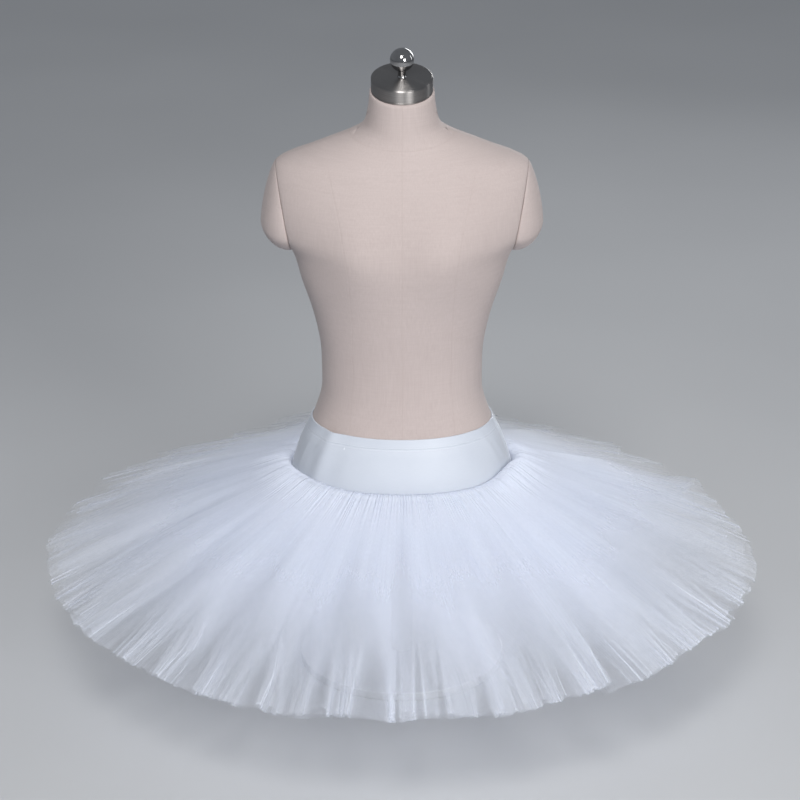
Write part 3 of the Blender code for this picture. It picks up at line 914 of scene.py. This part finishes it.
# Where the hem hangs shorter or lower: its middle and its reach in degrees, then metres
SAGS = (
    (128, 34, 0.006, 0),
    (17, 24, 0.011, 0.006),
    (244, 24, 0, 0.006),
    (318, 22, 0.006, 0),
)
SEAM_RADIUS = 0.146
HEM_FULLNESS = 1.0  # a layer's strip of net beside the length of its hem's circle
STRIP_SHARE = 0.98  # a strip's depth beside its layer's slope from seam to hem
NET_COLUMNS = 2000
NET_ROWS = 34
HEM_EDGE = 0.0045  # the cut edge's share of the way out
HEM_EDGE_COVER = 1.6  # how much more the cut edge covers than the net beside it
ONE_LAYER_COVER = 0.077  # how much of the light one flat thickness of net stops
MOST_COVER = 0.62  # the most that one layer stops, where it is gathered closest
LYING_OVER = 2.8  # gathered net lies over itself, so its cover grows faster than its closeness
LAYER_SEED = 41
LAYER_SEED_STEP = 7
SWELL_SEED = 3
SWELL_HEIGHT = 0.0021
FOLDS = 250
FOLD_HEIGHT = 0.00135
FOLD_LEAN = 0.0036
MID_FOLDS = 74
MID_FOLD_HEIGHT = 0.0014
GATHERS = 290
GATHER_HEIGHT = 0.0015
GATHER_REACH = 0.12  # the share of the way out at which the gathers have mostly opened
PLEATS = 92
PLEAT_HEIGHT = 0.0085
PLEAT_EDGE = 0.003
# How high the gathers stand up where they leave their seam, and where they stand higher still: the
# angle and half width in degrees, and how much higher
ROLL_HEIGHT = 0.0056
ROLL_START = 0.007
ROLL_END = 0.11
HIGHER_ROLLS = ((339, 17, 0.015), (208, 24, 0.007))

# A broad fold that runs from part of the way out to the hem, shared by all layers so that they nest:
# its angle at the hem and its half width in degrees, its height, and where it starts
Wave = namedtuple("Wave", "angle width height start")
WAVES = [Wave(*row) for row in (
    (58, 9.0, -0.006, 0.3),
    (24, 5.0, -0.005, 0.35),
    (8, 5.5, 0.0045, 0.3),
    (351, 4.0, -0.004, 0.4),
    (341, 4.5, 0.005, 0.3),
    (331, 3.6, -0.0045, 0.45),
    (322, 4.0, 0.0045, 0.35),
    (313, 3.4, -0.0045, 0.4),
    (295, 4.0, 0.003, 0.3),
    (286, 3.6, -0.004, 0.35),
    (277, 4.2, 0.0035, 0.2),
    (268, 3.4, -0.004, 0.4),
    (260, 4.0, 0.004, 0.25),
    (251, 3.6, -0.004, 0.4),
    (242, 4.4, 0.0045, 0.25),
    (233, 3.6, -0.0045, 0.35),
    (223, 4.6, 0.0045, 0.25),
    (213, 4.0, -0.005, 0.35),
    (203, 4.4, 0.0045, 0.25),
    (192, 4.0, -0.0045, 0.35),
    (181, 5.0, 0.0045, 0.3),
    (169, 4.0, -0.004, 0.35),
    (126, 8.0, -0.005, 0.3),
    (108, 6.0, 0.005, 0.3),
    (88, 7.0, -0.004, 0.4),
    (73, 5.0, 0.005, 0.35),
)]
# A long fold whose one side falls steeply and rises again slowly: its angle at the hem, how much
# that angle changes towards the seam, the side it falls to (1 is towards larger angles), how far it
# falls, how wide the fall and the slow rise are in degrees, and where it starts
Ledge = namedtuple("Ledge", "angle bend side drop fall rise start")
LEDGES = [Ledge(*row) for row in (
    (303.5, 0, 1, 0.015, 0.45, 17, 0.06),
    (28.5, -12, 1, 0.023, 0.5, 34, 0.02),
    (156.5, 0, 1, 0.014, 0.35, 14, 0.35),
    (139.0, 0, 1, 0.008, 0.35, 9, 0.5),
    (122.0, 0, 1, 0.007, 0.35, 9, 0.55),
    (113.0, 0, 1, 0.011, 0.4, 36, 0.3),
    (246.5, 0, -1, 0.0055, 0.5, 10, 0.35),
    (228.0, 0, -1, 0.0065, 0.5, 9, 0.45),
    (198.0, 0, -1, 0.007, 0.45, 10, 0.3),
    (327.5, 0, 1, 0.007, 0.45, 10, 0.4),
    (345.0, 0, 1, 0.006, 0.45, 9, 0.45),
    (11.0, -3, 1, 0.006, 0.45, 11, 0.35),
    (84.0, 4, -1, 0.008, 0.6, 16, 0.3),
)]
LEDGE_ABOVE = 0.45  # the share of a ledge's fall that stands above the plain cloth
# Where the net puffs up as it leaves the basque: its angle and half width in degrees, and its height
PUFFS = ((8, 26, 0.008), (318, 22, 0.004), (214, 22, 0.004), (150, 40, 0.003))
# Where the net is pulled thin towards the hem: its middle, its half width in degrees, how thin, and
# where it starts
ThinPlace = namedtuple("ThinPlace", "angle width thinness start")
THIN_PLACES = [ThinPlace(*row) for row in (
    (346, 1.8, 0.8, 0.7),
    (336, 1.5, 1.0, 0.8),
    (328.5, 2.2, 1.0, 0.62),
    (319, 1.8, 0.9, 0.72),
    (306.5, 2.4, 1.1, 0.66),
    (297, 1.5, 0.8, 0.74),
    (283, 1.2, 0.7, 0.78),
    (265, 2.2, 0.9, 0.62),
    (257, 1.2, 0.8, 0.7),
    (246, 1.6, 0.7, 0.72),
    (234, 2.0, 1.0, 0.66),
    (226, 1.5, 0.9, 0.7),
    (217, 2.0, 0.8, 0.6),
    (205, 1.6, 0.7, 0.66),
    (194, 1.8, 0.8, 0.64),
    (156, 2.2, 0.9, 0.6),
    (143, 1.6, 0.8, 0.68),
    (118, 1.8, 0.7, 0.66),
    (96, 1.6, 0.7, 0.7),
    (66, 1.8, 0.8, 0.66),
    (45, 1.7, 0.9, 0.62),
    (12, 1.6, 0.7, 0.68),
)]
PARTING = 1.7  # how strongly a thin place parts the net
SMALL_THIN_PLACES = 74
SMALL_SEED = 5
BUNCH_SEED = 12
BUNCH_STEPS = 8000
BUNCHED_FROM = 0.42  # the share of the way out at which the bunches begin


def round_noise(rng, turns, count):
    """Smooth noise from -1 to 1 at places given in turns, with count random values in a round."""
    values = rng.uniform(-1, 1, count)
    at = (turns % 1) * count
    low = np.floor(at).astype(int)
    share = smoothstep(0, 1, at - low)
    return values[low % count] * (1 - share) + values[(low + 1) % count] * share


def hem_sag(degrees):
    """How much shorter and lower the hem hangs at angles."""
    shorter, lower = np.zeros_like(degrees), np.zeros_like(degrees)
    for middle, reach, short, low in SAGS:
        off = degrees_from(degrees, middle)
        part_of = np.where(np.abs(off) < reach, (1 + np.cos(np.pi * off / reach)) / 2, 0)
        shorter += short * part_of
        lower += low * part_of
    return shorter, lower


def shared_folds(degrees, share):
    """The broad folds, ledges and puffs that all layers follow."""
    total = np.zeros_like(degrees)
    for wave in WAVES:
        grown = smoothstep(wave.start, wave.start + 0.35, share) * (1 - 0.45 * smoothstep(0.8, 1.0, share))
        total += wave.height * bell(degrees_from(degrees, wave.angle) / wave.width) * grown
    for ledge in LEDGES:
        off = degrees_from(degrees, ledge.angle + ledge.bend * (1 - share)) * ledge.side
        fallen = smoothstep(-ledge.fall, ledge.fall, off)
        above = LEDGE_ABOVE * bell(np.minimum(off, 0) / (0.35 * ledge.rise))
        below = (1 - LEDGE_ABOVE) * (1 - smoothstep(ledge.fall, ledge.rise, off))
        grown = smoothstep(ledge.start, ledge.start + 0.55, share)
        total += ledge.drop * (above * (1 - fallen) - below * fallen) * grown
    near = smoothstep(0.0, 0.045, share) * (1 - smoothstep(0.08, 0.4, share))
    for middle, reach, height in PUFFS:
        total += height * bell(degrees_from(degrees, middle) / reach) * near
    return total


def bunched(rng, turns, follows):
    """Where places along the strip come to lie round the hem, in turns: the net is drawn together
    in some places and pulled apart in others. The layers follow the top one's bunches more or less."""
    fine = np.arange(BUNCH_STEPS) / BUNCH_STEPS
    common = np.random.default_rng(BUNCH_SEED)
    closeness = 1 + follows * 0.17 * (round_noise(common, fine, 110) + round_noise(common, fine, 47))
    closeness += 0.22 * (round_noise(rng, fine, 120) + round_noise(rng, fine, 53))
    along = np.concatenate([[0], np.cumsum(np.clip(closeness, 0.3, 3.0))])
    return np.interp(turns, along / along[-1], np.arange(BUNCH_STEPS + 1) / BUNCH_STEPS)


def small_thin_places():
    """Narrow thin places between the broad ones."""
    rng = np.random.default_rng(SMALL_SEED)
    places = np.arange(SMALL_THIN_PLACES) + rng.uniform(-0.4, 0.4, SMALL_THIN_PLACES)
    return [
        ThinPlace(angle, rng.uniform(0.3, 0.75), rng.uniform(0.5, 1.0), rng.uniform(0.62, 0.86))
        for angle in places * 360 / SMALL_THIN_PLACES
    ]


def parted(rng, turns, outness, follows):
    """Where places that lie round the skirt at turns are pushed, as the thin places part the net."""
    pushed = turns
    for place in (*THIN_PLACES, *small_thin_places()):
        off = degrees_from(turns * 360, place.angle + rng.uniform(-0.3, 0.3)) / place.width
        opened = follows**0.5 * place.thinness * smoothstep(place.start, 1.0, outness)
        pushed = pushed + PARTING * opened * place.width / 360 * off * bell(off)
    return pushed


def streaks(rng, turns, share, count, along):
    """Streaks that run out from the seam: noise that changes quickly round the skirt and slowly out."""
    bands = np.stack([round_noise(rng, turns, count) for _ in range(along + 1)])
    at = share * along
    low = np.clip(np.floor(at).astype(int), 0, along - 1)
    part_of = smoothstep(0, 1, at - low)[:, None]
    return bands[low] * (1 - part_of) + bands[low + 1] * part_of


def fine_folds(rng, turns, outness):
    """Fine folds, each with its own depth, lean and start: their height, how far they lean over
    sideways, and where their creases are."""
    wander = 1.1 * round_noise(rng, turns, 120) + 0.5 * round_noise(rng, turns, 300)
    phase = 2 * np.pi * (FOLDS * turns + wander)
    fold = phase / (2 * np.pi * FOLDS)
    depth = 0.25 + 0.75 * np.abs(round_noise(rng, fold, FOLDS * 2 // 3))
    lean = round_noise(rng, turns, FOLDS // 3)
    begins = 0.45 + 0.35 * round_noise(rng, fold, FOLDS)
    grown = 0.1 + 0.9 * smoothstep(begins, begins + 0.5, outness)
    crest = np.cos(phase + 0.5 * np.sin(phase))
    height = (0.00012 + FOLD_HEIGHT * outness**2.4) * depth * grown * crest
    sideways = FOLD_LEAN * outness**2.2 * lean * depth * grown * np.sin(phase)
    creases = smoothstep(0.8, 0.99, crest) * smoothstep(0.5, 0.95, depth) * grown
    return height, sideways, creases * smoothstep(0.55, 0.95, outness)


def pleats(rng, turns, outness, hem_length):
    """Uneven pleats that lie over each other towards the hem. For each place: how far across its
    pleat it is from the low side, how deep the pleat is, how far it has grown, and how near its high
    edge the place is."""
    edges = np.sort((np.arange(PLEATS) + rng.uniform(-0.44, 0.44, PLEATS)) / PLEATS % 1)
    index = np.searchsorted(edges, turns) % PLEATS
    length = (edges[index] - edges[index - 1]) % 1
    across = ((turns - edges[index - 1]) % 1) / length
    across = np.where((rng.random(PLEATS) < 0.5)[index], across, 1 - across)
    depth = (0.15 + 0.85 * rng.random(PLEATS) ** 1.6)[index]
    start = rng.uniform(0.5, 0.8, PLEATS)[index]
    grown = smoothstep(start, 1.05, outness) ** 1.3
    return across, depth, grown, bell((1 - across) * length * hem_length / PLEAT_EDGE)


def gathers(rng, turns, outness):
    """The height of the gathers close to the seam."""
    ripple = np.sin(2 * np.pi * (GATHERS * turns + 0.8 * round_noise(rng, turns, 150)))
    ripple = ripple * (0.6 + 0.4 * round_noise(rng, turns, 190)) + 0.6 * round_noise(rng, turns, 240)
    return GATHER_HEIGHT * ripple * bell(outness / GATHER_REACH) * smoothstep(0.0, 0.02, outness)


def roll_height(degrees, outness):
    """How far the net stands up in a roll where it leaves its seam."""
    higher = sum(high * bell(degrees_from(degrees, at) / reach) for at, reach, high in HIGHER_ROLLS)
    return (ROLL_HEIGHT + higher) * smoothstep(0, ROLL_START, outness) * bell(outness / ROLL_END)


def layer_rows():
    """Each row's share of the way out, close together at the seam and the hem."""
    even = np.linspace(0, 1, NET_ROWS)
    share = 0.55 * even**1.35 + 0.45 * (1 - np.cos(np.pi * even)) / 2
    share[-3:-1] = 1 - 2 * HEM_EDGE, 1 - HEM_EDGE
    return share


def make_net_layer(index, layer):
    """One gathered layer of net from its seam on the brief to its hem."""
    rng = np.random.default_rng(LAYER_SEED + LAYER_SEED_STEP * index)
    common = np.random.default_rng(SWELL_SEED)
    turns = np.arange(NET_COLUMNS) / NET_COLUMNS
    share = layer_rows()
    outness = share[:, None]
    strip = 2 * np.pi * layer.hem_radius * HEM_FULLNESS

    # Where the strip's places lie round the skirt
    drawn = smoothstep(BUNCHED_FROM, 1.0, outness)
    placed = turns * (1 - drawn) + bunched(rng, turns, layer.follows) * drawn
    angle = 2 * np.pi * parted(rng, placed, outness, layer.follows)
    degrees = np.degrees(angle) % 360
    shorter, lower = hem_sag(degrees)

    # The layer's own folds, and the soft swellings that all layers share
    height, sideways, creases = fine_folds(rng, turns, outness)
    mid = round_noise(rng, turns, MID_FOLDS) + 0.6 * round_noise(rng, turns, 2 * MID_FOLDS)
    height = height + MID_FOLD_HEIGHT * mid * smoothstep(0.1, 0.7, outness)
    swell = round_noise(common, turns, 57) + 0.7 * round_noise(common, turns, 131)
    height = height + SWELL_HEIGHT * swell * smoothstep(0.08, 0.6, outness)
    across, pleat_depth, pleated, pleat_edge = pleats(rng, turns, outness, strip)
    height = height + PLEAT_HEIGHT * pleat_depth * (across - 0.5) * pleated
    height = height + gathers(rng, turns, outness) + roll_height(degrees, outness)
    height = height + shared_folds(degrees, outness * np.ones_like(angle))

    # The hem: bunches reach further than thin stretches, and each pleat's edge runs at a slant
    spacing = np.gradient(np.unwrap(angle[-1])) * NET_COLUMNS / (2 * np.pi)
    ragged = 0.006 * (1 - np.clip(1 / spacing, 0.3, 1)) + 0.0058 * (1 - across) * pleat_depth
    ragged = ragged + 0.0028 * round_noise(rng, turns, 31) + 0.0016 * round_noise(rng, turns, 160)
    radius = layer.hem_radius - shorter - ragged * smoothstep(0.6, 1.0, outness)

    seam = form_surface(np.full_like(angle, layer.seam_z), angle, EASE + BRIEF_WALL + 2 * GAP)
    hem = np.stack([radius * np.cos(angle), radius * np.sin(angle), 0 * angle], -1)
    points = seam + (hem - seam) * outness[..., None]
    plan_step = np.linalg.norm((np.roll(points, -1, axis=1) - points)[..., :2], axis=-1)
    fall = layer.seam_z + (layer.hem_z - lower - layer.seam_z) * outness
    points[..., 2] = fall + NET_LIFT * np.sin(np.pi * outness**0.75) + height
    points[..., 0] -= np.sin(angle) * sideways
    points[..., 1] += np.cos(angle) * sideways

    # How closely the net lies: the strip's length beside the ground it covers
    plan_step = (plan_step + np.roll(plan_step, 1, axis=1)) / 2
    round_length = plan_step.sum(axis=1, keepdims=True)
    bunch = np.clip(round_length / NET_COLUMNS / np.maximum(plan_step, 0.00015), 0.28, 3.2)
    closely = (strip / round_length) ** LYING_OVER * bunch**1.25
    uneven = 0.05 + 0.3 * outness**3
    closely *= 1 + uneven * (streaks(rng, turns, share, 900, 7) + 0.9 * streaks(rng, turns, share, 260, 5))
    closely *= 1 + (0.08 + 0.7 * uneven) * streaks(rng, turns, share, 90, 3)
    closely *= 1 + 0.3 * streaks(common, turns, share, 80, 3)
    closely *= (1 + 1.8 * creases) * (1 + 2.2 * pleat_edge * pleat_depth * pleated)
    closely[-2:] *= HEM_EDGE_COVER
    cover = 1 - (1 - ONE_LAYER_COVER) ** np.maximum(closely, 0.25)
    cover = cover / (1 + (cover / MOST_COVER) ** 4) ** 0.25

    mesh = mesh_of(f"{layer.name}_net", points, grid_faces(NET_ROWS, NET_COLUMNS))
    set_attribute(mesh, "cover", cover)
    depth_of_strip = strip_depth(layer)
    u, v = np.broadcast_arrays(turns * strip, outness * depth_of_strip)
    set_uv(mesh, u, v, strip)
    piece = new_piece(f"{layer.name}_net", mesh, NET, sharp=0)
    return piece


def strip_depth(layer):
    """How deep a layer's strip of net is, from the layer's slope between its seam and its hem."""
    return math.hypot(layer.hem_radius - SEAM_RADIUS, layer.seam_z - layer.hem_z) * STRIP_SHARE


# Building


def build_object():
    """Makes every piece, hides the imported part of the node it stands for, and hangs it under the root."""
    torso = make_torso()
    pieces = [(torso, "form_torso", "linen")]
    for side, half in ((1, "left"), (-1, "right")):
        pieces.append((make_arm_cap(side, f"form_arm_cap_{half}_linen"), f"form_arm_cap_{half}", "linen"))
    pieces.append((make_neck_cap(), "form_neck_cap", "cap_steel"))
    pieces.append((make_finial(), "form_finial", "ball_chrome"))
    base, post = make_stand()
    pieces += [(base, "form_base", "stand_paint"), (post, "form_post", "stand_paint")]
    yoke = make_yoke()
    for node, piece in yoke.items():
        pieces.append((piece, node, "brief_cotton" if "brief" in node else "satin"))
    pieces.append((make_stitches(), None, "satin"))
    pieces += [(make_net_layer(i, layer), layer.name, "net") for i, layer in enumerate(NET_LAYERS)]
    for piece, node, slot in pieces:
        if node:
            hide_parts(node)
        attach(piece, "root")


# Floor, light and camera


def make_stage():
    shape = bmesh.new()
    bmesh.ops.create_circle(shape, cap_ends=True, cap_tris=False, segments=96, radius=14)
    mesh = bpy.data.meshes.new("floor")
    shape.to_mesh(mesh)
    shape.free()
    floor = new_piece("floor", mesh, floor_material(), sharp=0)
    floor.location.z = -0.0005


def add_to_scene(name, data):
    holder = bpy.data.objects.new(name, data)
    bpy.context.scene.collection.objects.link(holder)
    return holder


def add_light(name, place, size, power, colour, spread=180):
    """A rectangular light, turned to the middle of the object."""
    light = bpy.data.lights.new(name, "AREA")
    light.spread = math.radians(spread)
    light.shape = "RECTANGLE"
    light.size, light.size_y = size
    light.energy = power
    light.color = colour
    holder = add_to_scene(name, light)
    holder.location = place
    holder.rotation_euler = (Vector((0, 0, 0.42)) - Vector(place)).to_track_quat("-Z", "Y").to_euler()


def make_lights():
    add_light("key", (-0.3, -3.2, 3.9), (1.3, 1.3), 152, (1.0, 0.99, 0.98))
    add_light("low", (1.75, -3.7, 1.75), (1.2, 1.2), 17.8, (1.0, 0.99, 0.98), spread=80)
    add_light("side", (3.3, 0.9, 1.5), (0.4, 1.6), 6, (0.98, 0.99, 1.0))
    add_light("back", (1.1, 3.3, 0.95), (1.5, 1.2), 4, (0.98, 0.99, 1.0), spread=60)
    world = bpy.data.worlds.new("studio")
    world.use_nodes = True
    sky = {"Color": (0.62, 0.66, 0.72, 1), "Strength": 0.36}
    set_inputs(world.node_tree.nodes["Background"], sky)
    bpy.context.scene.world = world


def make_camera():
    data = bpy.data.cameras.new("camera")
    data.sensor_width = 36.0
    data.lens = 137.475
    data.shift_x = -2.0 / 800
    data.clip_start, data.clip_end = 0.1, 60
    camera = add_to_scene("camera", data)
    camera.location = (0, -4.072, 2.086)
    camera.rotation_euler = (math.radians(90 - 22.38), 0, 0)
    bpy.context.scene.camera = camera


def main():
    build_object()
    make_stage()
    make_lights()
    make_camera()
    scene = bpy.context.scene
    scene.view_settings.view_transform = "Standard"
    scene.cycles.transparent_max_bounces = 48
    bpy.context.view_layer.update()


main()
